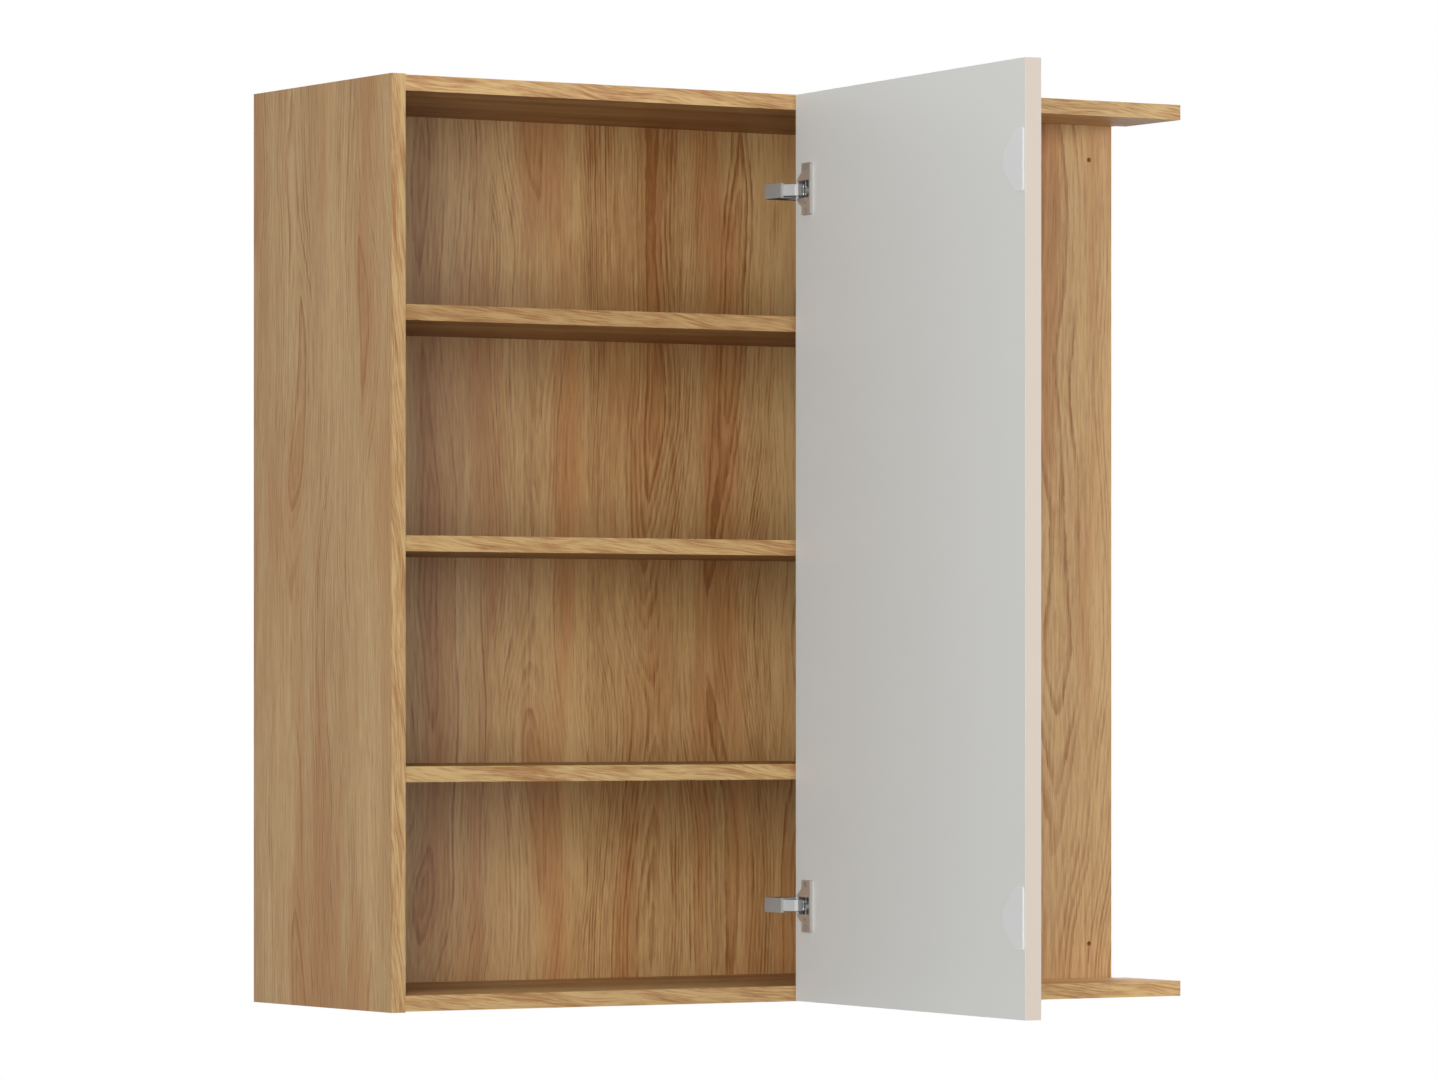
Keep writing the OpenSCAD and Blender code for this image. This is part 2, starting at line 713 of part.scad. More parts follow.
// Hollow of the channel behind the blind panel
module channel_room() {
  polygon([
    [nose_x + arm_sheet, arm_y - cut], [arm_end_x + cut, arm_y - cut],
    [arm_end_x + cut, arm_back_y - arm_sheet], [nose_x + nose_chamfer[0], arm_back_y - arm_sheet],
    [nose_x + arm_sheet, arm_back_y - nose_chamfer[1] - arm_sheet / 2]
  ]);
}

module hinge_arm(i) {
  room_h = 2 * (lug_z + lug_t + 0.2);
  channel_h = arm_h - 2 * arm_sheet;
  color(nickel) at_hinge(i) difference() {
    union() {
      translate([0, 0, -neck_h / 2]) linear_extrude(neck_h) neck_outline();
      translate([0, 0, -arm_h / 2]) linear_extrude(arm_h) nose_outline();
    }
    translate([0, 0, -room_h / 2]) linear_extrude(room_h) link_room();
    translate([0, 0, -channel_h / 2]) linear_extrude(channel_h) channel_room();
    translate([link_joint[0], link_joint[1], -arm_h]) rod_z(link_pin_d, 2 * arm_h);
    arm_screw_set(fit_gap);
  }
}

// Link: a bent bar from the arm's nose to the cup, with a wide eye at its free end
link_turn = link_ratio * (link_pose - door_open);
link_path = [[1.6, 7], [2.6, 11.4], [3.8, 13.4]];

module bar(p, q) {
  step = q - p;
  translate(p) {
    circle(link_bar / 2 + link_knee);
    rotate(atan2(step[1], step[0])) translate([0, -link_bar / 2]) square([norm(step), link_bar]);
  }
}

// The path's points count from the link's joint, with y towards the door
module link_outline() {
  tip = link_reach * [cos(link_aim), sin(link_aim)];
  points = [[0, 0], for (p = link_path) [p[0], -p[1]], tip];
  difference() {
    union() {
      circle(link_pin_d / 2 + 1.3);
      for (i = [0:len(points) - 2]) bar(points[i], points[i + 1]);
      translate(tip) circle(link_eye_r + 0.6);
    }
    circle(link_pin_d / 2 + pin_gap);
    translate(tip) circle(link_eye_r);
  }
}

module hinge_link(i) {
  color(zinc) at_hinge(i) translate([link_joint[0], link_joint[1], -link_h / 2])
    rotate([0, 0, link_turn]) linear_extrude(link_h) link_outline();
}

module link_pins() {
  color(zinc) at_hinges() translate([link_joint[0], link_joint[1], -neck_h / 2]) rod_z(link_pin_d, neck_h);
}

// Mounting plate behind the blind panel, with a raised boss inside the arm's channel
module hinge_plate(i) {
  boss_w = arm_h - 2 * arm_sheet - 1;
  color(zinc) at_hinge(i) difference() {
    union() {
      translate([plate_x, plate_y, -plate_h / 2]) cube([plate_len, plate_t, plate_h]);
      translate([plate_x, plate_y, -boss_w / 2]) cube([plate_len, plate_t + boss_h, boss_w]);
    }
    plate_screw_set(fit_gap);
    arm_screw_set(fit_gap);
  }
}

plate_head_d = 7;
plate_head_h = 1.5;

module plate_screw_set(gap) {
  extra = gap > 0 ? cut : 0;
  for (side = [-1, 1]) translate([plate_x + plate_len / 2, plate_y + plate_t, side * plate_screw_pitch / 2]) {
    translate([0, -wood_screw_len - gap, 0]) rod_y(wood_screw_d + 2 * gap, wood_screw_len + gap);
    translate([0, -plate_head_h - gap, 0]) rod_y(plate_head_d + 2 * gap, plate_head_h + gap + extra);
  }
}

module plate_screws() {
  color(nickel) at_hinges() difference() {
    plate_screw_set(0);
    for (side = [-1, 1], turn = [0, 90])
      translate([plate_x + plate_len / 2, plate_y + plate_t, side * plate_screw_pitch / 2])
        rotate([0, turn, 0]) cube([3.6, 2, 0.9], center = true);
  }
}

// Clamping screw and side screw, from the arm's web into the plate's boss
arm_screw_d = 4;
arm_screw_head_d = 7;
arm_screw_x = [plate_x + 7, plate_x + plate_len - 8];

module arm_screw_set(gap) {
  for (x = arm_screw_x) translate([x, 0, 0]) {
    translate([0, plate_y + plate_t + 1, 0]) rod_y(arm_screw_d + 2 * gap, arm_back_y - plate_y - plate_t - 1 + gap);
    translate([0, arm_back_y, 0]) rod_y(arm_screw_head_d + 2 * gap, 1.8 + gap);
  }
}

module arm_screws() {
  color(nickel) at_hinges() difference() {
    arm_screw_set(0);
    for (x = arm_screw_x, turn = [0, 90])
      translate([x, arm_back_y + 1.8, 0]) rotate([0, turn, 0]) cube([4, 2, 1], center = true);
  }
}

// ---- wall hangers ----------------------------------------------------------------------

peg_d = 10;
peg_len = 12;
peg_end = 16;                   // distance from the housing's ends to its pegs
hanger_top_z = ceiling_z - hanger_drop;
hanger_back_y = -1;             // step from the wall to the housing
hanger_wall = 1.5;
hook_w = hanger_w - 2 * hanger_wall - 2;
hook_lip_h = 14;
hook_top_z = hanger_top_z - hanger_wall - 3;
hook_h = 40;
hanger_screw_d = 5;

// Calls its children in a frame at the inner face of the left (-1) or right (1) side
module at_hanger(side) {
  translate([side < 0 ? inner_left_x : inner_right_x, 0, 0]) mirror([side < 0 ? 0 : 1, 0, 0]) children();
}

module hanger_pegs(side, gap) {
  extra = gap > 0 ? 0.5 : 0;
  at_hanger(side) for (z = [hanger_top_z - peg_end, hanger_top_z - hanger_h + peg_end])
    translate([-peg_len - extra, hanger_back_y - hanger_d / 2, z])
      rod_x(peg_d + 2 * gap, peg_len + extra);
}

module hanger(side) {
  inside_h = hanger_h - 2 * hanger_wall;
  color(zinc) union() {
    hanger_pegs(side, 0);
    at_hanger(side) difference() {
      translate([0, hanger_back_y - hanger_d, hanger_top_z - hanger_h]) cube([hanger_w, hanger_d, hanger_h]);
      translate([hanger_wall, hanger_back_y - hanger_d + hanger_wall, hanger_top_z - hanger_h + hanger_wall])
        cube([hanger_w - 2 * hanger_wall, hanger_d, inside_h]);
      translate([hanger_w / 2, hanger_back_y - hanger_d / 2 - 0.5, hanger_top_z - hanger_h - cut])
        rod_z(hanger_screw_d + 2 * fit_gap, hanger_wall + 2 * cut);
    }
  }
}

// Hook: a plate in the housing, bent over at the top into a lip that faces the wall
module hanger_hook(side) {
  plate_back = hanger_back_y - hanger_d + hanger_wall + 0.3;
  lip_front = plate_back + hook_t + rail_gap;
  block_h = 10;
  color(nickel) at_hanger(side) difference() {
    translate([hanger_wall + 1, 0, 0]) {
      translate([0, plate_back, hook_top_z - hook_h]) cube([hook_w, hook_t, hook_h]);
      translate([0, plate_back, hook_top_z - hook_t]) cube([hook_w, 2 * hook_t + rail_gap, hook_t]);
      translate([0, lip_front, hook_top_z - hook_lip_h]) cube([hook_w, hook_t, hook_lip_h]);
      translate([hook_w / 2 - 6, plate_back, hook_top_z - hook_h]) cube([12, hanger_d - 2 * hanger_wall - 0.5, block_h]);
    }
    translate([hanger_w / 2, hanger_back_y - hanger_d / 2 - 0.5, hook_top_z - hook_h - cut])
      rod_z(hanger_screw_d, block_h + cut);
  }
}

// Height screws: the head is under the housing, the shaft ends in the hook's block
module hanger_screws() {
  head_h = 3;
  color(nickel) for (side = [-1, 1]) at_hanger(side)
    translate([hanger_w / 2, hanger_back_y - hanger_d / 2 - 0.5, hanger_top_z - hanger_h]) difference() {
      union() {
        rod_z(hanger_screw_d, hook_top_z - hook_h + 9 - hanger_top_z + hanger_h);
        translate([0, 0, -head_h]) rod_z(8, head_h);
      }
      for (turn = [0, 90]) translate([0, 0, -head_h]) rotate([0, 0, turn]) cube([5, 1, 2.4], center = true);
    }
}

// ---- fittings of the carcass -----------------------------------------------------------

module cam_bolts() { color(zinc) at_left_joints() for (y = cam_y) translate([0, y, 0]) cam_bolt(); }
module cam_locks() { color(zinc) at_left_joints() for (y = cam_y) translate([0, y, 0]) cam_lock(); }
module carcass_dowels() { color(beech) left_dowels(0); }
module blind_dowels() { color(beech) blind_dowel_set(0); }
module return_dowels() { color(beech) return_dowel_set(0); }

module board_screws() {
  color(nickel) difference() {
    board_screw_set(0);
    for (end = [0, 1]) translate([0, 0, end * cabinet_h]) mirror([0, 0, 1 - end])
      translate([0, 0, -end_step]) {
        for (y = right_screw_y) translate([outer_right_x - board_t / 2, y, -3]) hex_socket();
        for (x = blind_screw_x) translate([x, blind_screw_y, -3]) hex_socket();
      }
  }
}

module hex_socket() { cylinder(d = 4.6, h = 3 + cut, $fn = 6); }

left_side();
right_side();
top_panel();
bottom_panel();
back_panel();
blind_panel();
shelf(0);  // shelf_lower
shelf(1);  // shelf_middle
shelf(2);  // shelf_upper
shelf_pins();
return_board(ceiling_z);  // return_board_top
return_board(end_step);  // return_board_bottom
return_upright();
door_panel();
door_edge_bands();
cover_cap(0);  // cover_cap_upper
cover_cap(1);  // cover_cap_lower
hinge_cup(0);  // hinge_cup_upper
hinge_cup(1);  // hinge_cup_lower
hinge_pins();
cup_screws();
hinge_arm(0);  // hinge_arm_upper
hinge_arm(1);  // hinge_arm_lower
hinge_link(0);  // hinge_link_upper
hinge_link(1);  // hinge_link_lower
link_pins();
hinge_plate(0);  // hinge_plate_upper
hinge_plate(1);  // hinge_plate_lower
plate_screws();
arm_screws();
hanger(-1);  // hanger_left
hanger(1);  // hanger_right
hanger_hook(-1);  // hanger_hook_left
hanger_hook(1);  // hanger_hook_right
hanger_screws();
cam_bolts();
cam_locks();
carcass_dowels();
blind_dowels();
return_dowels();
board_screws();
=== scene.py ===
import json
from math import cos, pi, radians, sin

import bmesh
import bpy
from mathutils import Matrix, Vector


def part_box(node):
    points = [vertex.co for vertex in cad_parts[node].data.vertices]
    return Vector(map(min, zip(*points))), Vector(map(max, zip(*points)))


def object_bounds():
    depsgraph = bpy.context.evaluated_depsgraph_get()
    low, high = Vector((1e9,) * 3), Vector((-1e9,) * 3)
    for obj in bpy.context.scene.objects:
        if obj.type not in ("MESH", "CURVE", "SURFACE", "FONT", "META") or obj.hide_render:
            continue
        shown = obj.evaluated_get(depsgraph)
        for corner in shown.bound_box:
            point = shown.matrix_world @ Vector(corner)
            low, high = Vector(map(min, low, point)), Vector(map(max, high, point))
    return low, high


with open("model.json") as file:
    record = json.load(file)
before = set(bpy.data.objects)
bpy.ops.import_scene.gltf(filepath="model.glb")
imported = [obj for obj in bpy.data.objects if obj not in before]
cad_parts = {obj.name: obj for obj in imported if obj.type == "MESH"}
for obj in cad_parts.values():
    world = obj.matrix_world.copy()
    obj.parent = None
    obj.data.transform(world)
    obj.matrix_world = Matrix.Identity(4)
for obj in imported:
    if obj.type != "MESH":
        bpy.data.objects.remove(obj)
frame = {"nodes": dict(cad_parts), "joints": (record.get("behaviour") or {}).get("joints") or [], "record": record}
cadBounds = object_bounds()
nodes = frame["nodes"]
print("frame loaded:", len(nodes), "nodes")

# The open door: inward points the way its inner face looks, and innerFace is how far that face
# lies from the hinge axis.
doorJoint = next(joint for joint in frame["joints"] if joint["name"] == "door_swing")
pivot = Vector(doorJoint["pos_m"])
openAngle = radians(-doorJoint["range_deg"][0])
inward = Vector((-sin(openAngle), cos(openAngle), 0))
innerFace = max((point.co - pivot).dot(inward) for point in nodes["door_panel"].data.vertices)
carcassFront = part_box("left_side")[0].y


# A value in a node tree, with the usual operators
class Value:
    def __init__(self, tree, socket):
        self.tree = tree
        self.socket = socket

    def math(self, operation, *others):
        return self.tree.node("ShaderNodeMath", {"operation": operation}, self, *others)

    def __add__(self, other):
        return self.math("ADD", other)

    def __sub__(self, other):
        return self.math("SUBTRACT", other)

    def __rsub__(self, other):
        return self.tree.node("ShaderNodeMath", {"operation": "SUBTRACT"}, other, self)

    def __mul__(self, other):
        return self.math("MULTIPLY", other)

    def __truediv__(self, other):
        return self.math("DIVIDE", other)

    def __pow__(self, other):
        return self.math("POWER", other)

    def __abs__(self):
        return self.math("ABSOLUTE")

    __radd__ = __add__
    __rmul__ = __mul__

    # Kept between 0 and 1
    def held(self):
        return self.tree.node("ShaderNodeClamp", {}, self)

    # 0 below low and 1 above high, with a smooth step between
    def step(self, low, high):
        smooth = {"interpolation_type": "SMOOTHSTEP"}
        return self.tree.node("ShaderNodeMapRange", smooth, self, low, high)


# A node tree, and the tools that build what its shaders read
class Tree:
    def __init__(self, nodeTree):
        self.nodeTree = nodeTree

    # Any node: its type, its settings, and the values or links of its sockets in order
    def node(self, kind, settings, *inputs, output=None):
        made = self.nodeTree.nodes.new(kind)
        for key, value in settings.items():
            setattr(made, key, value)
        for socket, value in zip([s for s in made.inputs if s.enabled], inputs):
            if isinstance(value, Value):
                self.nodeTree.links.new(value.socket, socket)
            elif value is not None:
                socket.default_value = (*value, 1.0) if socket.type == "RGBA" else value
        if made.outputs:
            first = next(s for s in made.outputs if s.enabled)
            return Value(self, made.outputs[output] if output else first)

    def split(self, vector):
        first = self.node("ShaderNodeSeparateXYZ", {}, vector)
        return [Value(self, socket) for socket in first.socket.node.outputs]

    def join(self, x, y, z):
        return self.node("ShaderNodeCombineXYZ", {}, x, y, z)

    # Noise from 0 to 1 at a point
    def noise(self, at, scale=1.0, detail=2.0, roughness=0.5):
        return self.node("ShaderNodeTexNoise", {}, at, scale, detail, roughness)

    # A random number from 0 to 1 for each value
    def pick(self, value):
        return self.node("ShaderNodeTexWhiteNoise", {"noise_dimensions": "1D"}, value)

    def mix(self, factor, low, high):
        return self.node("ShaderNodeMix", {"data_type": "RGBA"}, factor, low, high)

    def tint(self, colour, tint):
        multiply = {"data_type": "RGBA", "blend_type": "MULTIPLY"}
        return self.node("ShaderNodeMix", multiply, 1.0, colour, tint)


# A material with a Principled shader
class Finish(Tree):
    def __init__(self, name):
        self.material = bpy.data.materials.new(name)
        self.material.use_nodes = True
        super().__init__(self.material.node_tree)
        self.shader = self.nodeTree.nodes["Principled BSDF"]
        self.place = self.node("ShaderNodeTexCoord", {}, output="Object")
        self.x, self.y, self.z = self.split(self.place)

    def vector(self, operation, first, second, output=None):
        settings = {"operation": operation}
        return self.node("ShaderNodeVectorMath", settings, first, tuple(second), output=output)

    # Distance from a point along a direction
    def distance(self, origin, direction):
        start = self.vector("SUBTRACT", self.place, origin)
        return self.vector("DOT_PRODUCT", start, direction, output="Value")

    # How far the surface's own direction agrees with a direction, from -1 to 1
    def facing(self, direction):
        normal = self.node("ShaderNodeNewGeometry", {}, output="Normal")
        return self.vector("DOT_PRODUCT", normal, direction, output="Value")

    # Noise with its own frequency along each axis
    def strokes(self, rates):
        x, y, z = (axis * rate for axis, rate in zip((self.x, self.y, self.z), rates))
        return self.noise(self.join(x, y, z), 1.0, 3.0)

    # A bump, whose filter width keeps its default
    def relief(self, height, strength, distance):
        return self.node("ShaderNodeBump", {}, strength, distance, None, height)

    # Sets the Principled shader's inputs by name
    def done(self, **inputs):
        for key, value in inputs.items():
            socket = self.shader.inputs[key.replace("_", " ")]
            if isinstance(value, Value):
                self.nodeTree.links.new(value.socket, socket)
            else:
                socket.default_value = (*value, 1.0) if isinstance(value, tuple) else value
        return self.material


# The printed oak. Lengths are in metres, and a pair of numbers in edges is where a smooth step
# begins and ends.
oakPrint = {
    "golden": (0.615, 0.41, 0.187), "rosy": (0.53, 0.285, 0.115),
    "brown": (0.29, 0.116, 0.035), "deep": (0.19, 0.088, 0.033),
    "slant": 0.93,              # share of the depth that counts as width, so the print turns edges
    "seedShift": (0.377, 1.73),             # how far a seed moves the print, across and along
    "lots": (13.7, 7.1, 7.3),   # odd factors that keep the draws of planks and rings apart
    "plank": 0.118,             # width of a plank in the print
    "heart": (0.3, 0.4),        # where a plank's heart begins to be, and how far it may lie on
    "wander": 0.12,             # how far the heart strays to the sides
    "swing": 0.18,              # how far it rises and dips under the face
    "ripple": (0.013, 0.01),    # its quicker waves, to the sides and under the face
    "round": 1.45,              # power of the rings' outline, where 2 would be a circle
    "ring": 0.0078,             # spacing of the growth rings at the heart
    "tighten": 9.0,             # how much closer they get away from the heart, per metre
    "fine": 0.7, "ragged": 0.5,             # how far the rings' lines tremble, in rings
    "edges": {
        "ringRise": (0.1, 0.78), "ringFall": (0.84, 1.0), "figured": (0.36, 0.64),
        "nearHeart": (0.01, 0.03), "blushHeart": (0.004, 0.026), "blush": (0.44, 0.66),
        "streak": (0.5, 0.78), "poreHairs": (0.55, 0.72), "poreStrands": (0.42, 0.62),
    },
    "gloss": 0.22, "rough": 0.42, "roughHairs": 0.1,
    "relief": (0.12, 0.0004),
}
# Its noise: frequencies in two directions per metre, what is added to the seed, detail, roughness
oakNoise = {
    "wander": (40, 1.9, 0, 1.0, 0.5),
    "rise": (60, 1.7, 2, 2.0, 0.4),
    "ripple": (24, 3.4, 0, 2.0, 0.5),
    "fine": (75, 9, 5, 2.0, 0.5),
    "ragged": (260, 55, 3, 2.0, 0.5),
    "figured": (34, 2.2, 1, 1.0, 0.5),
    "strands": (330, 14, 0, 4.0, 0.7),
    "streak": (150, 4, 7, 2.0, 0.6),
    "hairs": (1250, 42, 0, 2.0, 0.6),
    "tone": (17, 0.9, 9, 2.0, 0.5),
    "blush": (21, 1.5, 4, 3.0, 0.5),
    "drift": (7, 12, 8, 1.0, 0.5),
    "thread": (620, 28, 6, 3.0, 0.65),
    "patch": (130, 8, 8, 2.0, 0.5),
}
# What each layer adds to the tone, which runs from 0 for the ground to 1 for brown. A board's
# figure is stretched about the middle tone.
oakTone = {
    "ground": 0.22, "middle": 0.36,
    "ringLeast": 0.1, "figureLeast": 0.25, "figured": 0.9,
    "line": 0.15, "lineStrands": 0.8, "strands": 1.6, "tone": 1.1, "plank": 0.16,
    "hairs": 0.9, "streak": 0.16, "blushHeart": 0.16,
    "poreLeast": 0.25, "poreLine": 0.6, "pores": 0.5,
    "grooveHairs": 0.5, "grooveStrands": 0.5, "groovePores": 0.4,
}
# The band on a board's front edge, with the glue line behind it
edgeBand = {
    "gold": (0.60, 0.40, 0.185), "brown": (0.37, 0.175, 0.07),
    "thick": 0.0008, "glue": 0.0002, "glueShown": 0.5,
    "lean": 0.1, "drift": 0.022,            # how far its threads lean and stray from the edge
    "thread": 3.4, "patch": 2.4, "ground": 0.4,
}
# The raw face at the rear
rawBoards = {
    "chipboard": {"light": (0.50, 0.37, 0.23), "dark": (0.24, 0.15, 0.08), "grains": 520.0},
    "hardboard": {"light": (0.33, 0.20, 0.11), "dark": (0.24, 0.135, 0.07), "grains": 900.0},
}
rawRough = 0.35
rawDepth = (0.0002, 0.0001)


# Oak print on one board. Grain is the axis that it runs along, seed picks the piece of print,
# board holds what sets it apart, front is where an edge band lies, and rear is where the raw
# rear face lies.
def oak(name, grain, seed, board, front, rear):
    look, edges, tones = oakPrint, oakPrint["edges"], oakTone
    s = Finish(name)
    wide, run = {"z": (s.x, s.z), "x": (s.z, s.x)}[grain]
    across = wide + s.y * look["slant"] + seed * look["seedShift"][0]
    run = run + seed * look["seedShift"][1]

    def layer(key, first=across, second=run):
        firstRate, secondRate, further, detail, roughness = oakNoise[key]
        at = s.join(first * firstRate, second * secondRate, seed + further)
        return s.noise(at, 1.0, detail, roughness)

    # Planks, each with its heart somewhere near its middle, which wanders along the grain
    plank = (across / look["plank"]).math("FLOOR")
    luck = s.pick(plank + seed * look["lots"][0])
    other = s.pick(plank + seed * look["lots"][1] + 0.5)
    ripple = layer("ripple") - 0.5
    aside = across - (plank + look["heart"][0] + luck * look["heart"][1]) * look["plank"]
    aside = aside + (layer("wander", luck) - 0.5) * look["wander"] + ripple * look["ripple"][0]
    under = (layer("rise", other) - 0.5) * look["swing"] + ripple * look["ripple"][1]
    radius = (abs(aside) ** look["round"] + abs(under) ** look["round"]) ** (1 / look["round"])

    # Growth rings round the heart, darker towards one side, some of them hardly to be seen
    rings = radius * (1 + radius * look["tighten"]) / board.get("ring", look["ring"])
    rings = rings + (layer("fine") - 0.5) * look["fine"] + (layer("ragged") - 0.5) * look["ragged"]
    phase = rings.math("FRACT")
    weight = s.pick(rings.math("FLOOR") + plank * look["lots"][2] + seed)
    figured = layer("figured").step(*edges["figured"]) + (1 - radius.step(*edges["nearHeart"]))
    line = phase.step(*edges["ringRise"]) * (1 - phase.step(*edges["ringFall"]))
    line = line * (tones["ringLeast"] + weight)
    line = line * (tones["figureLeast"] + figured.held() * tones["figured"])

    # Fibres, pores and slow changes of tone
    strands = layer("strands")
    hairs = layer("hairs")
    shade = tones["ground"] + line * (tones["line"] + strands * tones["lineStrands"])
    shade = shade + (strands - 0.5) * tones["strands"] + (layer("tone") - 0.5) * tones["tone"]
    shade = shade + (luck - 0.5) * tones["plank"] + (hairs - 0.5) * tones["hairs"]
    shade = shade + layer("streak").step(*edges["streak"]) * tones["streak"]
    shade = (shade - tones["middle"]) * board.get("figure", 1.0) + tones["middle"]
    blush = layer("blush") + (1 - radius.step(*edges["blushHeart"])) * tones["blushHeart"]
    base = s.mix(blush.step(*edges["blush"]), look["golden"], look["rosy"])
    colour = s.mix(shade.held(), base, look["brown"])
    pores = hairs.step(*edges["poreHairs"]) * strands.step(*edges["poreStrands"])
    pores = pores * (tones["poreLeast"] + line * tones["poreLine"])
    colour = s.mix(pores.held() * tones["pores"], colour, look["deep"])
    # The board's tint; for the top panel and the shelves it is painted shade
    colour = s.tint(colour, board.get("tint", (1, 1, 1)))

    if front is not None:
        band = edgeBand
        tilt = across + run * band["lean"] + (layer("drift", run, across) - 0.5) * band["drift"]
        warm = (layer("thread", tilt) - 0.5) * band["thread"]
        warm = warm + (layer("patch", tilt) - 0.5) * band["patch"] + band["ground"]
        threads = s.mix(warm.held(), band["gold"], band["brown"])
        seam = front + band["thick"]
        banded = 1 - s.y.step(seam - band["glue"], seam)
        glue = (1 - abs(s.y - seam) / band["glue"]).held()
        colour = s.mix(banded, colour, s.tint(threads, board.get("band", (1, 1, 1))))
        colour = s.mix(glue * band["glueShown"], colour, look["deep"])

    rough = look["rough"] - board.get("polish", 0.0) + hairs * look["roughHairs"]
    if rear is not None:
        raw = rawBoards[board.get("raw", "chipboard")]
        bare = s.y.step(rear - rawDepth[0], rear - rawDepth[1])
        speck = s.node("ShaderNodeTexVoronoi", {}, s.place, raw["grains"], output="Color")
        colour = s.mix(bare, colour, s.mix(s.split(speck)[0], raw["light"], raw["dark"]))
        rough = rough + bare * rawRough
    grooves = hairs * tones["grooveHairs"] + strands * tones["grooveStrands"]
    grooves = grooves - pores * tones["groovePores"]
    return s.done(
        Base_Color=colour, Roughness=rough, Normal=s.relief(grooves, *look["relief"]),
        Specular_IOR_Level=board.get("gloss", look["gloss"]),
    )


doorFaces = {
    "inner": (0.675, 0.685, 0.665), "innerCloud": (0.69, 0.70, 0.68),
    "outer": (0.66, 0.59, 0.52), "outerCloud": (0.675, 0.605, 0.535),
    "change": (-0.0015, -0.001),            # where the outer finish ends, from the hinge axis
    "skin": (0.0004, 0.0002),               # how deep the laminate reaches over the band
    "clouds": 5.0, "peel": 650.0,
    "rough": 0.28, "roughInner": 0.16, "roughPeel": 0.06,
    "relief": (0.04, 0.0002), "gloss": 0.3,
}


def laminate(name):
    look = doorFaces
    s = Finish(name)
    inner = s.distance(pivot, inward).step(*look["change"])
    cloud = s.noise(s.place, look["clouds"], 4.0)
    peel = s.noise(s.place, look["peel"], 2.0)
    outside = s.mix(cloud, look["outer"], look["outerCloud"])
    inside = s.mix(cloud, look["inner"], look["innerCloud"])
    rough = look["rough"] + inner * look["roughInner"] + peel * look["roughPeel"]
    return s.done(
        Base_Color=s.mix(inner, outside, inside), Roughness=rough,
        Normal=s.relief(peel, *look["relief"]), Specular_IOR_Level=look["gloss"],
    )


# Smooth plastics, with a faint mottle between two colours. Skin is the colour of what lies in
# the door's inner face, where the laminate reaches over the band.
plastics = {
    "edge_band": {
        "name": "beige band", "colour": (0.62, 0.54, 0.465), "mottle": (0.635, 0.555, 0.48),
        "rough": 0.34, "skin": doorFaces["inner"],
    },
    "white_plastic": {
        "name": "white plastic", "colour": (0.72, 0.725, 0.73), "mottle": (0.735, 0.74, 0.745),
        "rough": 0.3,
    },
}
plasticNoise = {"grain": 1100.0, "clouds": 25.0, "roughGrain": 0.1, "relief": (0.06, 0.0002)}


def plastic(look):
    s = Finish(look["name"])
    grain = s.noise(s.place, plasticNoise["grain"], 2.0)
    cloud = s.noise(s.place, plasticNoise["clouds"], 3.0)
    shade = s.mix(cloud, look["colour"], look["mottle"])
    if "skin" in look:
        low, high = (innerFace - depth for depth in doorFaces["skin"])
        shade = s.mix(s.distance(pivot, inward).step(low, high), shade, look["skin"])
    return s.done(
        Base_Color=shade, Roughness=look["rough"] + grain * plasticNoise["roughGrain"],
        Normal=s.relief(grain, *plasticNoise["relief"]), Specular_IOR_Level=doorFaces["gloss"],
    )


# Plated steels. Those marked for cup shade get painted shade below the door's inner face, where
# they sit in the cup, and those marked for up-down shade get painted shade where they look up or down.
plating = {
    # worn is the stained plating; the next two are the colours of painted shade, in the cup and on faces that look
    # up or down
    "worn": (0.48, 0.48, 0.475), "hollow": (0.24, 0.25, 0.24), "upDownShade": (0.12, 0.11, 0.10),
    "metal": 0.75,              # less than 1, for the haze on the plating
    "drawn": (170, 170, 2400), "stains": 85.0,
    "stainEdges": (0.35, 0.75), "stainShown": 0.5, "roughDrawn": 0.1, "roughStain": 0.06,
    # The next two lines set where the painted shade begins: in the cup, at the carcass front, and on faces that
    # look up or down
    "hollowEdges": (0.0022, 0.0034),        # from the hinge axis along inward
    "frontBlend": 0.002, "upDownShadeEdges": (0.6, 0.9),
    "relief": (0.05, 0.0002),
}
steels = {
    "nickel_plated_steel": {"name": "nickel", "rough": 0.16, "bright": (0.57, 0.575, 0.57)},
    "zinc": {"name": "zinc", "rough": 0.26, "bright": (0.56, 0.57, 0.58)},
}
hingeSteels = {
    # The cup and the arm take painted shade where they lie in the cup
    ("hinge_cup_upper", "hinge_cup_lower"): {
        "name": "nickel cup", "rough": 0.22, "bright": (0.50, 0.475, 0.445), "hollow": True,
    },
    # The arm also takes painted shade, standing for a dark reflection, on its faces that look up or down
    ("hinge_arm_upper", "hinge_arm_lower"): {
        "name": "nickel arm", "rough": 0.62, "bright": (0.45, 0.455, 0.45), "hollow": True,
        "upDownShade": True,
    },
    # The links and pins are darkened as painted shade, for the shaded cup they sit in
    ("hinge_link_upper", "hinge_link_lower", "hinge_pins", "link_pins"): {
        "name": "link in painted shade", "rough": 0.55, "bright": (0.22, 0.23, 0.215),
    },
    ("cup_screws",): {"name": "dull nickel", "rough": 0.42, "bright": (0.44, 0.42, 0.40)},
}


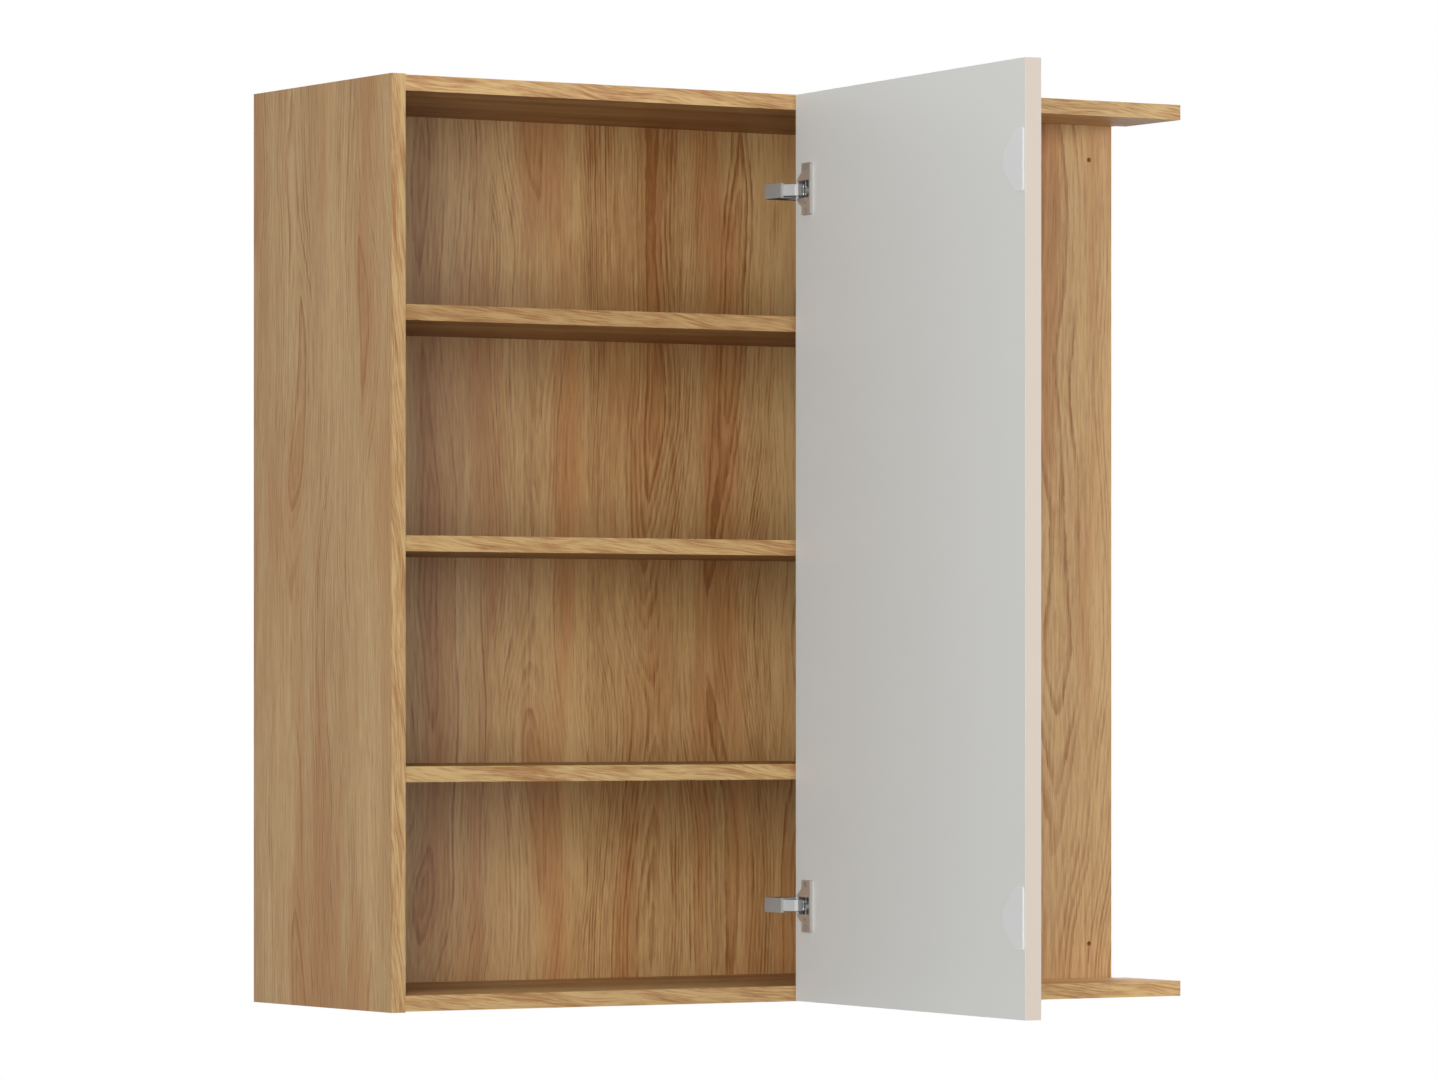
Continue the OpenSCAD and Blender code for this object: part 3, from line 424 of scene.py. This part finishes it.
def steel(look):
    s = Finish(look["name"])
    drawn = s.strokes(plating["drawn"])
    stain = s.noise(s.place, plating["stains"], 3.0)
    stained = stain.step(*plating["stainEdges"]) * plating["stainShown"]
    colour = s.mix(stained, look["bright"], plating["worn"])
    # Painted shade: darker below the door's inner face and in front of the carcass, where the part lies in the cup
    if "hollow" in look:
        cupShadeMask = 1 - s.distance(pivot, inward).step(*plating["hollowEdges"])
        outside = 1 - s.y.step(carcassFront - plating["frontBlend"], carcassFront)
        colour = s.mix(cupShadeMask * outside, colour, plating["hollow"])
    # Painted shade, standing for a dark reflection, on faces that look up or down
    if "upDownShade" in look:
        upDownShadeMask = abs(s.facing((0, 0, 1))).step(*plating["upDownShadeEdges"])
        colour = s.mix(upDownShadeMask, colour, plating["upDownShade"])
    rough = look["rough"] + drawn * plating["roughDrawn"] + stain * plating["roughStain"]
    return s.done(
        Base_Color=colour, Metallic=plating["metal"], Roughness=rough,
        Normal=s.relief(drawn, *plating["relief"]),
    )


beechWood = {
    "pale": (0.66, 0.45, 0.27), "dark": (0.50, 0.31, 0.16), "fleck": (0.35, 0.19, 0.09),
    "streaks": (60, 700, 700), "flecks": 900.0, "fleckEdges": (0.6, 0.7), "fleckShown": 0.4,
    "rough": 0.62, "roughStreak": 0.1,
}


def beech(look):
    s = Finish("beech")
    streak = s.strokes(look["streaks"])
    fleck = s.noise(s.place, look["flecks"], 2.0).step(*look["fleckEdges"])
    colour = s.mix(streak, look["pale"], look["dark"])
    return s.done(
        Base_Color=s.mix(fleck * look["fleckShown"], colour, look["fleck"]),
        Roughness=look["rough"] + streak * look["roughStreak"],
    )


def dress(node, material):
    mesh = nodes[node].data
    mesh.materials.clear()
    mesh.materials.append(material)


# What sets single boards apart: how strongly the figure shows, the tints of the print and of
# the band, the spacing of the rings, the gloss, and the kind of a rear face that isn't chipboard.
# The darker print tints of the top panel and the shelves are painted shade, for their shaded undersides.
boards = {
    "left_side": {"figure": 0.66, "tint": (0.90, 0.93, 0.99), "band": (0.93, 0.94, 0.95)},
    # The top panel's darker tint is painted shade, for its shaded underside, laid over the whole board
    "top_panel": {"tint": (0.84, 0.77, 0.67)},
    "bottom_panel": {"band": (0.94, 0.94, 0.92)},
    "back_panel": {"tint": (1.05, 1.04, 1.0), "gloss": 0.9, "polish": 0.12, "raw": "hardboard"},
    "blind_panel": {"tint": (1.10, 1.08, 1.08), "ring": 0.012, "seed": 44, "figure": 0.88},
    "return_board_top": {"band": (1.05, 1.08, 1.04)},
    "return_board_bottom": {"band": (1.18, 1.18, 1.1)},
    # The shelves' darker tints are painted shade, for their shaded undersides, laid over the whole boards
    "shelf_upper": {"band": (0.78, 0.75, 0.70), "tint": (0.78, 0.68, 0.55)},
    "shelf_middle": {"band": (0.90, 0.90, 0.86), "tint": (0.80, 0.72, 0.60)},
    "shelf_lower": {"band": (0.93, 0.96, 0.93), "tint": (0.80, 0.72, 0.60)},
}
uprights = ["left_side", "right_side", "back_panel", "blind_panel", "return_upright"]
levels = ["top_panel", "bottom_panel", "shelf_lower", "shelf_middle", "shelf_upper",
          "return_board_top", "return_board_bottom"]
# A board that is deeper than this runs from front to rear, and has a banded front and a raw rear.
leastDepth = 0.1
for number, node in enumerate(uprights + levels, 1):
    low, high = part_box(node)
    own = boards.get(node, {})
    deep = high.y - low.y > leastDepth
    front = low.y if deep else None
    rear = high.y if deep or "raw" in own else None
    grain = "z" if node in uprights else "x"
    dress(node, oak(f"oak {node}", grain, own.get("seed", number), own, front, rear))

finishes = {"pale_laminate": laminate("pale laminate"), "beech": beech(beechWood)}
finishes |= {slot: plastic(look) for slot, look in plastics.items()}
finishes |= {slot: steel(look) for slot, look in steels.items()}
for part in frame["record"]["subparts"]:
    if part["material_slot"] in finishes:
        dress(part["node"], finishes[part["material_slot"]])
for pieces, look in hingeSteels.items():
    material = steel(look)
    for node in pieces:
        dress(node, material)
print("materials assigned")


# Softboxes: turn is measured from straight in front towards the right, rise from level, and
# level is the light on a face that is turned to the lamp.
softboxes = {
    "key": {"turn": -42, "rise": 3, "away": 5.0, "size": (2.4, 2.2), "level": 0.785},
    "side": {"turn": -78, "rise": 8, "away": 4.0, "size": (1.6, 1.6), "level": 0.03},
    "fill": {"turn": 57, "rise": 6, "away": 5.0, "size": (2.5, 2.0), "level": 0.42},
    "rear": {"turn": 165, "rise": 22, "away": 5.0, "size": (3.0, 2.0), "level": 0.5},
    "top": {"turn": 60, "rise": 82, "away": 5.0, "size": (3.0, 3.0), "level": 0.45},
}
studio = {
    "around": 0.34, "seen": 1.0,            # the room's own light, and how bright it looks
    "floorLit": (0.15,) * 3,                # what the floor sends back up
    "floorSeen": (0.5,) * 3, "floorGlow": (0.42,) * 3,      # what the camera sees of it
    "floorCloud": (0.4,) * 3, "clouds": 2.0, "cloudShown": 0.03, "floorRough": 0.8,
    "floorDrop": 1.4, "floorReach": 9.0,
}
middle = (cadBounds[0] + cadBounds[1]) / 2


def softbox(name, look):
    turn, rise = radians(look["turn"]), radians(look["rise"])
    towards = Vector((sin(turn) * cos(rise), -cos(turn) * cos(rise), sin(rise)))
    data = bpy.data.lights.new(name, "AREA")
    data.shape = "RECTANGLE"
    data.size, data.size_y = look["size"]
    data.energy = look["level"] * (pi * look["away"]) ** 2
    light = bpy.data.objects.new(name, data)
    light.location = middle + towards * look["away"]
    light.rotation_mode = "QUATERNION"
    light.rotation_quaternion = (-towards).to_track_quat("-Z", "Y")
    bpy.context.scene.collection.objects.link(light)


for name, look in softboxes.items():
    softbox(name, look)


# 1 for the rays that see the surroundings: the camera's, and those in gloss and glass
def seeing(tree):
    sight, gloss, glass = (
        tree.node("ShaderNodeLightPath", {}, output=f"Is {kind} Ray")
        for kind in ("Camera", "Glossy", "Transmission")
    )
    return sight.math("MAXIMUM", gloss).math("MAXIMUM", glass)


world = bpy.data.worlds.new("studio")
bpy.context.scene.world = world
world.use_nodes = True
world.node_tree.nodes.clear()
sky = Tree(world.node_tree)
around = sky.node("ShaderNodeBackground", {}, (1, 1, 1), studio["around"])
seen = sky.node("ShaderNodeBackground", {}, (1, 1, 1), studio["seen"])
air = sky.node("ShaderNodeMixShader", {}, seeing(sky), around, seen)
sky.node("ShaderNodeOutputWorld", {"target": "ALL"}, air)

shape = bmesh.new()
bmesh.ops.create_grid(shape, x_segments=1, y_segments=1, size=studio["floorReach"])
bmesh.ops.translate(shape, verts=shape.verts, vec=(0, 0, -studio["floorDrop"]))
floorMesh = bpy.data.meshes.new("floor")
shape.to_mesh(floorMesh)
shape.free()
floor = bpy.data.objects.new("floor", floorMesh)
bpy.context.scene.collection.objects.link(floor)

pale = Finish("pale floor")
seenHere = seeing(pale)
cloud = pale.noise(pale.place, studio["clouds"]) * studio["cloudShown"]
ground = pale.mix(seenHere, studio["floorLit"], studio["floorSeen"])
pale.done(
    Base_Color=pale.mix(cloud, ground, studio["floorCloud"]), Roughness=studio["floorRough"],
    Emission_Color=pale.mix(seenHere, (0, 0, 0), studio["floorGlow"]), Emission_Strength=1.0,
)
# From below the floor can be seen through.
opaque = Value(pale, pale.shader.outputs["BSDF"])
behind = pale.node("ShaderNodeNewGeometry", {}, output="Backfacing")
clear = pale.node("ShaderNodeBsdfTransparent", {}, (1, 1, 1))
either = pale.node("ShaderNodeMixShader", {}, behind, opaque, clear)
surface = pale.nodeTree.nodes["Material Output"].inputs["Surface"]
pale.nodeTree.links.new(either.socket, surface)
floorMesh.materials.append(pale.material)
print("studio lit")

# Turn and tilt are in degrees, and lens and sensor in millimetres.
shot = {
    "place": (-3.8777, -6.5527, 0.3254), "turn": -31.389, "tilt": 90,
    "lens": 176.52, "sensor": 36.0, "rise": 0.105, "farthest": 100,
}
cameraData = bpy.data.cameras.new("camera")
cameraData.sensor_width = shot["sensor"]
cameraData.lens = shot["lens"]
cameraData.shift_y = shot["rise"]
cameraData.clip_end = shot["farthest"]
camera = bpy.data.objects.new("camera", cameraData)
camera.location = shot["place"]
camera.rotation_euler = (radians(shot["tilt"]), 0, radians(shot["turn"]))
bpy.context.scene.collection.objects.link(camera)
bpy.context.scene.camera = camera
bpy.context.scene.view_settings.view_transform = "Standard"

print("camera set")
